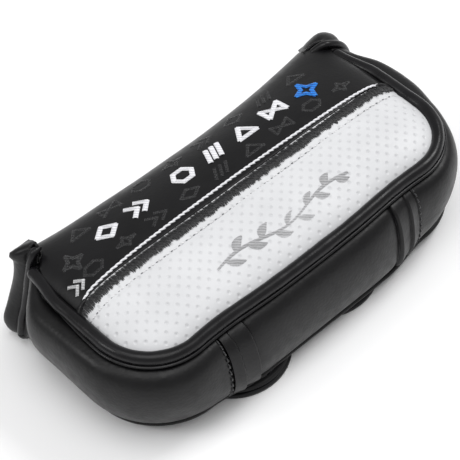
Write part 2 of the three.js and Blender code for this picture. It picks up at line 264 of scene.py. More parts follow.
def many_tubes(name, bars, material, sides=6):
    """One object of many short bars; each is (path, radius, squash, up)."""
    vertices, faces, count = [], [], 0
    for path, radius, squash, up in bars:
        v, f = tube_parts(path, radius, sides, squash, up, count)
        vertices.append(v)
        faces += f
        count += len(v)
    return new_object(name, np.concatenate(vertices), faces, material)


def sew(piece, slot, *nodes, body="pouch", fill=None):
    """Hides the CAD nodes that a piece stands for and hangs it on the body that carries it; slot,
    what it is made of, is not used. A piece with no body of its own is not attached to any."""
    if nodes:
        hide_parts(*nodes)
    if body is not None:
        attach(piece, body)


# ---- The rim, and the surfaces and lines that follow it ---------------------


def rim_point(distance, out, z):
    """Points at distances along the rim from the middle of the sole side, moved out."""
    side = np.where(distance < 0, -1.0, 1.0)
    along = np.abs(distance)
    turn = np.clip((along - SOLE_HALF) / CORNER, 0, math.pi / 2)
    climbed = np.maximum(0, along - SOLE_HALF - CORNER_ARC)
    x = np.minimum(along, SOLE_HALF) + (CORNER + out) * np.sin(turn)
    y = NEAR_Y + CORNER - (CORNER + out) * np.cos(turn) + climbed
    return points_of(side * x, y, z)


def rim_depth(x, y):
    """How far inside the rim a point lies."""
    across = np.abs(x) - SOLE_HALF
    along = NEAR_Y + CORNER - y
    straight = np.minimum(HALF - np.abs(x), y - NEAR_Y)
    round_corner = CORNER - np.hypot(across, along)
    return np.where((across > 0) & (along > 0), round_corner, straight)


def piping_z(distance):
    """The piping dips towards the mouth, where it runs in under the collars."""
    climbed = np.maximum(0, np.abs(distance) - SOLE_HALF - CORNER_ARC)
    return RIM_Z - 1.6 * smooth_step(0, END_Y - NEAR_Y - CORNER + 6, climbed)


def foot_out(d):
    """How far the seam of gusset and back stands out; furthest on the sole side."""
    return 1.2 + 2.8 * (1 - smooth_step(PLEAT_INNER - 4, SOLE_HALF, np.abs(d)))


def front_z(x, y):
    """Height of the front's outer face: a pillow that rolls down to the piping."""
    middle = (NEAR_Y + MOUTH_Y) / 2
    across = np.clip(np.abs(x) / HALF, 0, 1)
    along = (y - middle) / (MOUTH_Y - middle)
    pillow = FRONT_RISE * (1 - across**4.5) * (1 - np.abs(along) ** 2.3)
    roll = EDGE_RISE * (1 - np.exp(-np.maximum(rim_depth(x, y) - 1.2, 0) / 2.6))
    drop = 1.2 * np.clip(along, 0, 2) ** 3
    return CROWN_Z + 0.2 - FRONT_RISE - EDGE_RISE + pillow + roll - drop


def front_half_at(y, margin):
    """Half the front's length at y, out to a margin inside the rim."""
    short = np.clip(NEAR_Y + CORNER - y, 0, CORNER - margin - 0.01)
    return SOLE_HALF + np.sqrt((CORNER - margin) ** 2 - short**2)


def on_front(x, y, lift=0.0):
    return points_of(x, y, front_z(x, y) + lift)


def far_reach(x):
    """How much further the mouth's fold stands out towards the two collars."""
    return 0.00125 * (np.asarray(x, float) + 3) ** 2


def upper_uneven(x, y, z):
    """Softness of the black leather of the front, as an offset from its plain form."""
    past = smooth_step(MOUTH_Y - 10, MOUTH_Y, y)
    return 0.10 * wobble(x, y + z, 40, 11) + 0.32 * past * wobble(x, y, 60, 12)


def black_surface(x, y, lift):
    points = on_front(x, y, 0.0)
    points[..., 2] += upper_uneven(points[..., 0], points[..., 1], points[..., 2]) + lift
    return points


def cord_y(x):
    """Where the white cord of the seam lies; it dips as it runs into the piping."""
    x = np.asarray(x, float)
    end = np.maximum(np.abs(x) - 59, 0) / 7
    return SEAM_Y + 1.6 - 1.1 * smooth_step(-5, 45, x) - 1.7 * end**2


def ragged_y(x):
    """The near edge of the satin stitching."""
    x = np.asarray(x, float)
    return SEAM_Y - 4.2 - 0.7 * smooth_step(-50, -5, x) + 0.8 * smooth_step(35, 62, np.abs(x))


def stitch_y(x):
    return ragged_y(x) - 2.1


# ---- Materials --------------------------------------------------------------


class Nodes:
    """A small helper for building node materials."""

    def __init__(self, name):
        self.material = bpy.data.materials.new(name)
        self.material.use_nodes = True
        self.tree = self.material.node_tree
        self.shader = self.tree.nodes["Principled BSDF"]
        self.place = self.add("ShaderNodeTexCoord").outputs["Object"]

    def plug(self, socket, value):
        """Links a socket to another node, or sets its own value."""
        if isinstance(value, bpy.types.NodeSocket):
            self.tree.links.new(value, socket)
        else:
            socket.default_value = value

    def add(self, kind, **inputs):
        node = self.tree.nodes.new(kind)
        for key, value in inputs.items():
            if key in node.inputs.keys():
                self.plug(node.inputs[key], value)
            else:
                setattr(node, key, value)
        return node

    def noise(self, scale, detail, vector=None):
        vector = vector or self.place
        node = self.add("ShaderNodeTexNoise", Vector=vector, Scale=scale, Detail=detail)
        return node.outputs["Fac"]

    def cells(self, scale):
        return self.add("ShaderNodeTexVoronoi", Vector=self.place, Scale=scale).outputs["Distance"]

    def wave(self, direction, **inputs):
        bands = {"wave_type": "BANDS", "bands_direction": direction, "Vector": self.place}
        return self.add("ShaderNodeTexWave", **bands, **inputs).outputs["Fac"]

    def spread(self, value, low, high, to_low, to_high):
        limits = {"From Min": low, "From Max": high, "To Min": to_low, "To Max": to_high}
        return self.add("ShaderNodeMapRange", Value=value, **limits).outputs["Result"]

    def math(self, operation, a, b=0.0):
        node = self.add("ShaderNodeMath", operation=operation)
        for socket, value in zip(node.inputs, (a, b)):
            self.plug(socket, value)
        return node.outputs[0]

    def ramp(self, value, stops):
        node = self.add("ShaderNodeValToRGB", Fac=value)
        elements = node.color_ramp.elements
        while len(elements) < len(stops):
            elements.new(0.5)
        for element, (at, colour) in zip(elements, stops):
            element.position = at
            element.color = (*colour, 1)
        return node.outputs["Color"]

    def mix(self, factor, a, b):
        """A colour that turns to the plain colour b by a factor."""
        node = self.add("ShaderNodeMix", data_type="RGBA")
        for i, value in ((0, factor), (6, a), (7, (*b, 1))):
            self.plug(node.inputs[i], value)
        return node.outputs[2]

    def bump(self, height, strength, distance, under=None):
        node = self.add("ShaderNodeBump", Height=height, Strength=strength, Distance=distance)
        if under is not None:
            self.tree.links.new(under, node.inputs["Normal"])
        return node.outputs["Normal"]

    def finish(self, colour=None, roughness=None, normal=None, **constants):
        for key, value in (("Base Color", colour), ("Roughness", roughness), ("Normal", normal)):
            if value is not None:
                self.tree.links.new(value, self.shader.inputs[key])
        for key, value in constants.items():
            self.shader.inputs[key.replace("_", " ")].default_value = value
        return self.material


def black_leather(name, dark, light, grain, gloss, bump):
    """Synthetic leather: fine pebbled grain, faint creases and uneven gloss."""
    n = Nodes(name)
    pebble = n.cells(grain)
    fine = n.noise(grain * 1.7, 4.0)
    broad = n.noise(45.0, 4.0)
    colour = n.ramp(n.spread(broad, 0.3, 0.7, 0.0, 1.0), [(0.0, dark), (1.0, light)])
    worn = n.spread(n.noise(260.0, 5.0), 0.35, 0.75, gloss - 0.05, gloss + 0.09)
    grained = n.bump(pebble, bump, 0.00012)
    normal = n.bump(fine, bump * 0.6, 0.00008, grained)
    creased = n.bump(n.noise(120.0, 2.0), 0.12, 0.0005, normal)
    return n.finish(colour, worn, creased, Specular_IOR_Level=0.3)


def perforated_leather():
    """White leather with a diagonal square lattice of small pressed dots, their centres darkened
    with painted shade.
    """
    n = Nodes("white_perforated_leather")
    turned = n.add(
        "ShaderNodeVectorRotate", rotation_type="Z_AXIS", Vector=n.place, Angle=math.radians(45)
    )
    split = n.add("ShaderNodeSeparateXYZ", Vector=turned.outputs[0])
    squares = []
    for axis in ("X", "Y"):
        part = n.math("DIVIDE", split.outputs[axis], DOT_PITCH * MM)
        part = n.math("SUBTRACT", n.math("FRACT", n.math("ADD", part, 40.0)), 0.5)
        squares.append(n.math("MULTIPLY", part, part))
    reach = n.math("SQRT", n.math("ADD", squares[0], squares[1]))
    # hole marks the centre of each dot; the grey mixed in there is painted shade in the pressed
    # dimple.
    hole = n.spread(reach, 0.05, 0.14, 1.0, 0.0)
    dimple = n.spread(reach, 0.03, 0.24, 0.0, 1.0)
    mottle = n.noise(60.0, 3.0)
    whites = [(0.0, (0.62, 0.625, 0.64)), (1.0, (0.68, 0.685, 0.70))]
    ground = n.ramp(n.spread(mottle, 0.3, 0.7, 0, 1), whites)
    colour = n.mix(n.math("MULTIPLY", hole, 0.15), ground, (0.25, 0.26, 0.28))
    rough = n.spread(n.noise(700.0, 3.0), 0.3, 0.7, 0.42, 0.56)
    pressed = n.bump(dimple, 0.7, 0.0004)
    pebbled = n.bump(n.cells(1100.0), 0.16, 0.0001, pressed)
    return n.finish(colour, rough, pebbled, Specular_IOR_Level=0.45)


def thread(name, dark, light, gloss=0.42, sheen=0.3):
    """Twisted sewing thread: fine slanting plies, with a painted highlight where they stand proud.
    """
    n = Nodes(name)
    ply = n.wave("DIAGONAL", Scale=THREAD_GRAIN / 6, Distortion=3.0, Detail=2.0)
    fibre = n.noise(THREAD_GRAIN, 4.0)
    mixed = n.math("MULTIPLY", n.math("ADD", ply, fibre), 0.5)
    # The pale end of this ramp is a painted highlight on the raised plies, the glints of the
    # thread.
    colour = n.ramp(mixed, [(0.15, dark), (0.75, light)])
    rough = n.spread(fibre, 0.3, 0.7, gloss - 0.08, gloss + 0.12)
    normal = n.bump(mixed, 0.5, 0.00015)
    return n.finish(colour, rough, normal, Sheen_Weight=sheen, Sheen_Roughness=0.4)


def plush(name, dark, light):
    """Short brushed pile."""
    n = Nodes(name)
    pile = n.noise(1500.0, 6.0)
    tuft = n.noise(190.0, 4.0)
    mixed = n.math("MULTIPLY", n.math("ADD", pile, tuft), 0.5)
    colour = n.ramp(mixed, [(0.35, dark), (0.65, light)])
    rough = n.spread(tuft, 0.3, 0.7, 0.85, 1.0)
    normal = n.bump(mixed, 0.9, 0.0008)
    return n.finish(colour, rough, normal, Sheen_Weight=0.6, Sheen_Roughness=0.5)


def woven(name, dark, light):
    """Plain-woven tape."""
    n = Nodes(name)
    threads = [n.wave(way, Scale=WEAVE_GRAIN / 6, Distortion=0.6) for way in ("X", "Y")]
    weave = n.math("MULTIPLY", *threads)
    colour = n.ramp(weave, [(0.1, dark), (0.8, light)])
    rough = n.spread(n.noise(300.0, 3.0), 0.3, 0.7, 0.55, 0.75)
    return n.finish(colour, rough, n.bump(weave, 0.5, 0.0002), Sheen_Weight=0.2)


def sponge(name, dark, light):
    """Open-cell foam, or a pressed board where it is dense."""
    n = Nodes(name)
    cell = n.cells(700.0)
    colour = n.ramp(n.noise(500.0, 5.0), [(0.3, dark), (0.7, light)])
    rough = n.spread(cell, 0.0, 0.6, 0.8, 0.98)
    return n.finish(colour, rough, n.bump(cell, 0.6, 0.0004))


def brushed_metal():
    """Nickel-plated steel with fine brushing."""
    n = Nodes("nickel_steel")
    stretched = n.add("ShaderNodeMapping", Vector=n.place, Scale=(60.0, 2400.0, 60.0))
    line = n.noise(1.0, 4.0, stretched.outputs[0])
    colour = n.ramp(line, [(0.3, (0.42, 0.43, 0.45)), (0.7, (0.6, 0.61, 0.63))])
    rough = n.spread(line, 0.3, 0.7, 0.25, 0.42)
    return n.finish(colour, rough, n.bump(line, 0.15, 0.00005), Metallic=1.0)


FRONT_BLACK = black_leather(
    "front_black_leather", (0.0022, 0.0021, 0.0026), (0.0042, 0.004, 0.0048), 1100, 0.36, 0.16
)
WALL_BLACK = black_leather(
    "gusset_black_leather", (0.0018, 0.0017, 0.002), (0.004, 0.0038, 0.0044), 900, 0.4, 0.35
)
PIPING_BLACK = black_leather(
    "piping_black_leather", (0.0026, 0.0024, 0.003), (0.005, 0.0047, 0.0058), 1000, 0.3, 0.15
)
BACK_BLACK = black_leather(
    "back_black_leather", (0.005, 0.005, 0.0055), (0.009, 0.009, 0.010), 800, 0.48, 0.35
)
WHITE = perforated_leather()
WHITE_THREAD = thread("white_thread", (0.62, 0.62, 0.66), (0.93, 0.93, 0.95))
GREY_THREAD = thread("pale_grey_thread", (0.48, 0.48, 0.49), (0.80, 0.80, 0.81))
BLUE_THREAD = thread("azure_thread", (0.001, 0.06, 0.34), (0.003, 0.28, 0.88))
BLACK_THREAD = thread("black_thread", (0.004, 0.004, 0.005), (0.035, 0.035, 0.038), gloss=0.36)
SATIN_THREAD = thread(
    "black_satin_thread", (0.002, 0.002, 0.0025), (0.022, 0.022, 0.024), gloss=0.30, sheen=0.1
)
SHADE_THREAD = thread("needle_shadow", (0.10, 0.10, 0.11), (0.20, 0.20, 0.21), gloss=0.7, sheen=0.0)
MOTIF_THREAD = thread(
    "black_motif_thread", (0.002, 0.002, 0.0025), (0.022, 0.022, 0.024), gloss=0.26, sheen=0.2
)
SILVER_THREAD = thread("silver_thread", (0.30, 0.30, 0.31), (0.55, 0.55, 0.56), gloss=0.4)
SATIN_TAPE = woven("black_tape", (0.006, 0.006, 0.007), (0.022, 0.022, 0.024))
PLUSH = plush("charcoal_plush", (0.012, 0.012, 0.014), (0.055, 0.055, 0.06))
FOAM = sponge("grey_foam", (0.16, 0.165, 0.17), (0.34, 0.35, 0.36))
BOARD = sponge("pressed_board", (0.10, 0.10, 0.11), (0.18, 0.18, 0.19))
STEEL = brushed_metal()


# ---- Front: the white leather below the seam --------------------------------


def build_front_lower():
    rows, columns = 64, 170
    t = np.linspace(0, 1, rows)[:, None] ** 1.8
    across = eased(columns)
    y = NEAR_Y + 0.4 + (SEAM_Y + 0.3 - NEAR_Y) * t
    x = across * front_half_at(y, 0.3)
    z = front_z(x, y) + 0.10 * wobble(x, y, 38, 3)
    # The row of stitches pulls the leather down into a shallow valley.
    valley = np.exp(-(((y - stitch_y(x)) / 0.8) ** 2))
    points = points_of(x, y, z - 0.3 * valley)
    piece = sheet("front_lower_leather", points.transpose(1, 0, 2), SKIN, WHITE)
    sew(piece, "white_leather", "front_panel_lower", fill=0.75)


# ---- Front: the black leather above the seam, and the flap ------------------


def flap_profile(x, shares):
    """(y, z) of the black leather along its run at x: over the front from the seam,
    round the mouth's fold, down the band and round the low fold."""
    start = MOUTH_Y - 8.0 + 0.8 * far_reach(x)
    z_start = front_z(x, start)
    slope = (front_z(x, start + 0.2) - z_start) / 0.2
    heading = math.atan(slope)
    forward = np.array([math.cos(heading), math.sin(heading)])
    a = np.array([start, z_start])
    bulge = MOUTH_Y + 3.9 + far_reach(x)
    waist = np.array([bulge, 18.0])
    top = bezier([a, a + forward * 8.6, waist + [0.4, 15.4], waist], np.linspace(0, 1, 40))
    low_z = LOW_FOLD[2] - SKIN / 2
    foot = np.array([LOW_FOLD[1] - 3.5, low_z])
    low = bezier([waist, waist + [-0.3, -12.0], foot + [4.5, 0.0], foot], np.linspace(0, 1, 40))
    run_y = np.linspace(cord_y(x), start, 40)
    over = np.stack([run_y, front_z(x, run_y)], -1)
    path = {"over": over, "top": top, "low": low}
    return np.concatenate([path[k][(1 if i else 0):] for i, k in enumerate(shares)])


def flap_grid(shares, half_of, columns, rows):
    """Points of the black leather: columns across X, rows evenly along its run."""
    grid = []
    for across in np.linspace(-1, 1, columns):
        # Its width changes along the run, so x is settled step by step.
        for share in np.linspace(0, 1, rows):
            x = across * half_of(share, across)
            line = flap_profile(x, shares)
            run = run_length(line)
            grid.append([x] + [np.interp(share * run[-1], run, line[:, i]) for i in (0, 1)])
    return np.reshape(grid, (columns, rows, 3))


def upper_half(share, across):
    """Half width of the upper black leather, from the seam round to mid band; on the
    right it keeps its width for longer."""
    wide = HALF - 1.2
    late = 0.12 * smooth_step(0, 1, across)
    return wide + (BAND_HALF_TOP - wide) * smooth_step(0.33 + late, 0.57 + late, share)


def lower_half(share):
    return BAND_HALF_TOP + (BAND_HALF_LOW - BAND_HALF_TOP) * smooth_step(0, 0.8, share)


def build_front_upper():
    points = flap_grid(("over", "top"), upper_half, 121, 80)
    x, y, z = points[..., 0], points[..., 1], points[..., 2]
    points = points + normals_of(points) * upper_uneven(x, y, z)[..., None]
    piece = sheet("front_upper_leather", points, SKIN, FRONT_BLACK)
    sew(piece, "black_leather", "front_panel_upper", body=None, fill=0.7)
    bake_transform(piece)


# ---- Seam of the two leathers -----------------------------------------------


def build_seam():
    r = np.random.default_rng(21)
    reach = float(front_half_at(SEAM_Y, 1.0))

    # A narrow turned strip of smooth leather between the cord and the satin.
    x = np.linspace(-reach, reach, 160)[:, None]
    share = np.linspace(0, 1, 12)[None, :]
    far, near = cord_y(x) - 0.3, ragged_y(x) + 4.0
    y = near + (far - near) * share
    crest = 0.3 * np.sqrt(np.clip(1 - (2 * share - 1) ** 2, 0, 1))
    points = on_front(x, y, 0.15 + crest)
    sew(sheet("seam_strip", points, 0.5, PIPING_BLACK), "satin_ribbon", "seam_ribbon")

    # Satin stitching: close threads across the seam, ragged on the white side.
    bars = []
    step = 0.36
    tuft = 0.0
    for i in range(int(2 * reach / step)):
        at = -reach + i * step + r.uniform(-0.04, 0.04)
        if i % 3 == 0:
            tuft = r.uniform(-0.5, 0.35)
        near = float(ragged_y(at))
        tip = near + tuft + r.uniform(-0.15, 0.15)
        root = near + 3.9 + r.uniform(-0.35, 0.2)
        ys = np.array([tip, tip + 0.6, near + 1.7, root - 0.7, root])
        xs = at + r.uniform(-0.12, 0.12) * np.linspace(-1, 1, 5)
        lift = np.array([0.08, 0.34, 0.5, 0.42, 0.0]) + r.uniform(-0.14, 0.12)
        bars.append((on_front(xs, ys, lift), [0.05, 0.17, 0.22, 0.2, 0.12], 0.9, (1, 0, 0)))
    sew(many_tubes("seam_satin_thread", bars, SATIN_THREAD, 6), "satin_ribbon")

    # The white cord: short slanting stitches that overlap like a rope.
    bars = []
    step = 2.0
    for i in range(int(2 * reach / step) + 1):
        at = -reach + 0.2 + i * step
        xs = np.clip(np.linspace(at - 0.2, at + step + 0.3, 6), -reach, reach)
        ys = cord_y(xs) + np.linspace(0.32, -0.32, 6)
        lift = np.array([0.2, 0.45, 0.55, 0.55, 0.42, 0.15])
        bars.append((on_front(xs, ys, lift), [0.22, 0.36, 0.4, 0.4, 0.34, 0.2], 0.85, None))
    sew(many_tubes("seam_white_thread", bars, WHITE_THREAD, 8), "cotton_cord")

    # Stitches sunk in the white leather beside the satin, and dark dots of painted shade in their
    # needle holes.
    bars, holes = [], []
    step = 3.0
    side = float(front_half_at(SEAM_Y - 6, 2.5))
    for i in range(int(2 * side / step)):
        at = -side + i * step
        xs = np.linspace(at, at + 1.9, 4)
        lift = np.array([-0.42, -0.14, -0.14, -0.42])
        bars.append((on_front(xs, stitch_y(xs), lift), 0.26, 0.8, None))
        # A dark dot just under the surface before each stitch: painted shade in its needle hole.
        hole = np.linspace(at - 0.6, at - 0.15, 3)
        holes.append((on_front(hole, stitch_y(hole), -0.24), 0.22, 0.8, None))
    sew(many_tubes("front_lower_stitches", bars, GREY_THREAD, 6), "white_leather")
    sew(many_tubes("front_lower_needle_hole_shade", holes, SHADE_THREAD, 6), "white_leather")


# ---- Piping -----------------------------------------------------------------


def build_piping():
    end = RIM_HALF + 0.6
    d = np.linspace(-end, end, 300)
    out = -2.6 * smooth_step(RIM_HALF - 16, end, np.abs(d))
    pucker = 0.02 * wobble(d, 0, 9, 5) + 0.03 * wobble(d, 0, 23, 6)
    path = rim_point(d, out, piping_z(d) + 0.1 * wobble(d, 0, 60, 7))
    piece = tube("front_piping_skin", path, PIPING * (1 + pucker), PIPING_BLACK, 24)
    sew(piece, "black_leather", "front_piping", "front_piping_cord")

    # The thin edge of the piping's flange, between the piping and the gusset.
    t = np.linspace(0, 1, 7)[None, :]
    dd = np.linspace(-RIM_HALF + 6, RIM_HALF - 6, 240)[:, None]
    fade = smooth_step(RIM_HALF - 34, RIM_HALF - 6, np.abs(dd))
    lip = 0.35 * np.sin(math.pi * t)
    points = rim_point(dd, 1.5 - 2.0 * fade + 1.5 * t, piping_z(dd) - 1.2 - 0.8 * fade + lip)
    sew(sheet("piping_flange", points[:, ::-1], 0.6, PIPING_BLACK), "black_leather")


# ---- Gusset -----------------------------------------------------------------


def gusset_section(d, t):
    """(out, z) down the gusset's outer face, from under the piping to the back seam."""
    along = np.abs(d)
    to_corner = smooth_step(PLEAT_OUTER - 4, SOLE_HALF + 8, along)
    to_end = smooth_step(SOLE_HALF + 20, SOLE_HALF + 44, along)
    slimmer = smooth_step(PLEAT_INNER - 14, PLEAT_OUTER + 4, d)
    tighter = smooth_step(SOLE_HALF - 8, SOLE_HALF + 14, d)
    tighter = tighter * smooth_step(SOLE_HALF + 50, SOLE_HALF + 28, d)
    fuller = smooth_step(SOLE_HALF + 24, SOLE_HALF + 44, d)
    fuller = fuller * (1 - 0.8 * smooth_step(RIM_HALF - 20, RIM_HALF - 2, d))
    upper = 11.0 + 2.2 * to_corner - 0.8 * slimmer + 2.6 * to_end + 4.6 * fuller - 0.9 * tighter
    lower = 11.6 - 2.8 * to_corner - 3.2 * slimmer - 0.5 * tighter
    top_z = GUSSET_TOP_Z + 2.0 + 0.6 * to_corner + 2.4 * to_end
    heights = (GUSSET_TOP_Z + 0.2, top_z, GUSSET_FOOT_Z - 1.2, GUSSET_FOOT_Z - 0.4)
    share = ((1 - t) ** 3, 3 * t * (1 - t) ** 2, 3 * t * t * (1 - t), t**3)
    out = sum(part * way for part, way in zip(share, (0.6, upper, lower, foot_out(d))))
    return out, sum(part * height for part, height in zip(share, heights))


def gusset_normals(points):
    return -normals_of(points)


def gusset_grid(from_d, to_d, columns, rows, seed):
    d = np.linspace(from_d, to_d, columns)[:, None]
    t = np.linspace(0, 1, rows)[None, :]
    out, z = gusset_section(d, t)
    points = rim_point(d, out, z)
    dip = piping_z(d) - RIM_Z
    points[..., 2] += dip * (1 - t) ** 2
    soft = 0.22 * wobble(d, t * 30, 55, seed) * np.sin(math.pi * t)
    points = points + gusset_normals(points) * soft[..., None]
    # Towards the mouth it narrows to the collar.
    for sign in (-1, 1):
        throat = collar_line(sign, t, 0.0)
        target = points_of(sign * (throat[..., 0] - 0.2), points[..., 1], throat[..., 1])
        share = smooth_step(RIM_HALF - (15 if sign < 0 else 13), RIM_HALF + 5.5, sign * d) ** 1.6
        points = points * (1 - share[..., None]) + target * share[..., None]
    return points, d, t


def gusset_piece(name, node, points):
    sew(sheet(name, points[:, ::-1], SKIN, WALL_BLACK), "black_leather", node, fill=0.8)


def pull_in(points, t_edge, depth, width):
    """Pulls a piece in towards a sewn edge. t_edge is distance from the edge in mm."""
    dent = depth * np.exp(-np.maximum(t_edge, 0) / width)
    return points - gusset_normals(points) * dent[..., None]


def lap(x, edge, root, height):
    """Height of a lap of leather that rises from its root to a rounded edge."""
    climb = 0.15 + (height - 0.15) * np.clip((root - x) / (root - edge), 0, 1) ** 1.2
    nose = np.sqrt(np.clip((x - edge) / 0.75, 0, 1))
    return np.where(x < edge, -0.9, -0.5 + (climb + 0.5) * nose)


def build_gusset():
    reach = RIM_HALF + 3.8
    for side, sign in SIDES:
        low, high = sorted((sign * PLEAT_OUTER, sign * reach))
        points, d, t = gusset_grid(low, high, 150, 44, 31 + sign)
        points = pull_in(points, np.abs(d) - PLEAT_OUTER, 0.6, 0.9)
        points = pull_in(points, reach - np.abs(d), 0.5, 0.8)
        gusset_piece(f"gusset_{side}_wall", f"gusset_{side}", points)
        build_corner_web(side, sign)

    reach = PLEAT_INNER + 0.6
    points, d, t = gusset_grid(-reach, reach, 130, 44, 41)
    points = pull_in(points, reach - np.abs(d), 0.9, 1.5)
    gusset_piece("gusset_middle_wall", "gusset_middle", points)

    # A pleat: two laps that each rise to a rounded edge towards the middle.
    for side, sign in SIDES:
        low, high = sorted((sign * (PLEAT_INNER - 1.0), sign * PLEAT_OUTER))
        points, d, t = gusset_grid(low, high, 90, 44, 51 + sign)
        x = np.abs(d)
        drift = 1.6 * (t - 0.4)
        fold, brink = PLEAT_FOLD - drift * 0.9, PLEAT_INNER + 0.2 - drift * 0.5
        outer_lap = lap(x, fold, PLEAT_OUTER, 1.35)
        inner_lap = lap(x, brink, fold + 0.3, 1.25)
        lift = np.where(x > fold, np.maximum(outer_lap, inner_lap - 0.8), inner_lap)
        ends = np.sin(math.pi * np.clip(t, 0.03, 0.97)) ** 0.6
        lift = -0.5 + (lift + 0.5) * (0.3 + 0.7 * ends)
        points = points + gusset_normals(points) * lift[..., None]
        gusset_piece(f"pleat_{side}_fold", f"pleat_{side}", points)

    build_pleat_stitches()

    # Behind the skins: the padding, and the plush that lines the pocket.
    points, d, t = gusset_grid(-RIM_HALF + 9, RIM_HALF - 9, 300, 30, 47)
    normal = gusset_normals(points)
    sew(sheet("gusset_padding", (points - normal * 2.2)[:, ::-1], 2.0, FOAM), "foam", "gusset_foam")
    points, d, t = gusset_grid(-RIM_HALF - 1.5, RIM_HALF + 1.5, 320, 30, 47)
    normal = gusset_normals(points)
    pile = 0.16 * np.random.default_rng(48).standard_normal(points.shape[:2])
    deep = 2.2 + 2.4 * smooth_step(RIM_HALF - 1, RIM_HALF - 16, np.abs(d))
    inner = points - normal * (deep + pile)[..., None]
    sew(sheet("gusset_plush", inner[:, ::-1], 1.0, PLUSH), "plush", "gusset_lining")


def build_pleat_stitches():
    bars = []
    for sign in (-1, 1):
        for k in range(12):
            t = 0.08 + 0.84 * (k + np.linspace(0.1, 0.7, 4)) / 12
            d = np.full_like(t, sign * (PLEAT_OUTER + 0.9))
            out, z = gusset_section(d, t)
            dip = np.array([-0.5, 0.02, 0.02, -0.5])
            bars.append((rim_point(d, out + dip, z), 0.27, 0.8, (1, 0, 0)))
    sew(many_tubes("pleat_stitches", bars, BLACK_THREAD, 6), "satin_ribbon")


def build_corner_web(side, sign):
    """The seam allowance that joins the gusset's end to the front beside the mouth."""
    y = np.linspace(16, 31.0, 24)[:, None]
    share = np.linspace(0, 1, 16)[None, :]
    inner, top = 55.0, 35.2
    outer = 68.0 - 4.0 * smooth_step(20, 31, y) * (1 if sign < 0 else 0.3)
    x = inner + (outer - inner) * share
    z = np.minimum(np.minimum(front_z(x, y) - 2.2, top), top - 1.6 * share)
    points = points_of(sign * x, y, z)[:, ::sign]
    grid = points.transpose(1, 0, 2)
    sew(sheet(f"corner_web_{side}", grid, 0.8, WALL_BLACK), "black_leather")


# ---- Collars ----------------------------------------------------------------


def collar_line(side, t, s):
    """(|x|, z) down a collar: s is 0 in the groove, 1 along the ridge, 2 at the hem."""
    if side < 0:
        groove = [[62.6, 34.2], [64.8, 33.2], [66.0, 30.8], [67.3, 25.4],
                  [69.2, 17.6], [71.9, 11.0], [72.8, 5.2], [70.8, 1.9]]
        ridge = [[60.4, 39.4], [63.0, 38.4], [64.9, 33.2], [66.9, 26.4],
                 [69.1, 17.6], [71.5, 11.2], [72.5, 4.9], [70.9, 1.3]]
        hem = [[59.8, 34.8], [67.2, 35.4], [66.4, 31.0], [67.5, 23.8],
               [71.2, 14.6], [73.8, 8.8], [73.4, 3.8], [70.6, 0.9]]
    else:
        groove = [[57.2, 34.0], [61.6, 34.6], [67.0, 35.0], [71.8, 32.0], [74.2, 26.5],
                  [74.8, 17.6], [74.4, 11.0], [73.2, 5.2], [70.8, 1.9]]
        ridge = [[55.4, 38.8], [59.9, 39.3], [64.6, 37.8], [71.2, 32.2], [74.2, 25.6],
                 [75.0, 17.4], [74.6, 11.0], [73.2, 4.9], [70.9, 1.3]]
        hem = [[58.6, 33.4], [62.2, 35.4], [67.8, 35.8], [73.4, 31.2], [75.2, 24.0],
               [75.4, 15.6], [74.8, 9.0], [73.2, 3.6], [70.6, 0.9]]
    lines = [through(line, t) for line in (groove, ridge, hem)]
    s = np.asarray(s, float)[..., None]
    low = lines[0] + (lines[1] - lines[0]) * np.clip(s, 0, 1)
    return low + (lines[2] - lines[1]) * np.clip(s - 1, 0, 1)


def bend_over(points, side, t):
    """The right collar's top end leans back over the fold of the mouth."""
    if side < 0:
        return points
    lean = 3.4 * (1 - smooth_step(0, 0.4, t))
    return points + np.stack([0.97 * lean, lean, -1.43 * lean], -1)


def build_collars():
    # Its profile across: groove, seat of the rib, a stitched valley and the hem.
    stations = [28.6, 29.4, 30.4, 31.4, 32.4, 33.4, 34.6, 35.8, 36.8]
    blend = [0.0, 0.1, 0.6, 1.0, 1.15, 1.35, 1.6, 1.85, 2.0]
    height = [-1.3, -1.0, -0.5, -0.4, -0.65, -0.1, 0.15, 0.0, -0.5]
    s = np.linspace(0, 1, 64)[None, :]
    t = np.linspace(0, 1, 110)[:, None]
    profile = through(np.stack([stations, blend, height], -1), s)
    y, part, rise = profile[..., 0], np.clip(profile[..., 1], 0, 2), profile[..., 2]
    for side, sign in SIDES:
        line = collar_line(sign, t, part)
        points = bend_over(points_of(line[..., 0], y, line[..., 1]), sign, t)
        normal = normals_of(points)
        if normal[45, 32, 0] < 0:
            normal = -normal
        # At its top end the offsets fade, so that it closes to a plain edge.
        fade = smooth_step(0, 0.08, t)
        uneven = 0.12 * wobble(y * 2, line[..., 1], 26, 61 + sign)
        points = points + normal * ((rise + uneven) * fade)[..., None]
        points[..., 0] *= sign
        grid = points if sign < 0 else points[::-1]
        piece = sheet(f"collar_{side}_hem", grid, 1.1, WALL_BLACK)
        sew(piece, "black_leather", f"collar_{side}", fill=0.5)
        build_collar_stitches(side, points, sign)
        build_collar_rib(side, sign)


def build_collar_stitches(side, points, sign):
    bars = []
    column = int(np.argmin(np.abs(points[45, :, 1] - 34.3)))
    line = points[:, column]
    for k in range(14):
        low = 6 + k * 6
        at = line[low:low + 4].copy()
        at[:, 0] += sign * np.array([-0.35, 0.12, 0.12, -0.35])
        bars.append((at, 0.24, 0.8, (0, 1, 0)))
    sew(many_tubes(f"collar_{side}_stitches", bars, BLACK_THREAD, 6), "satin_ribbon")


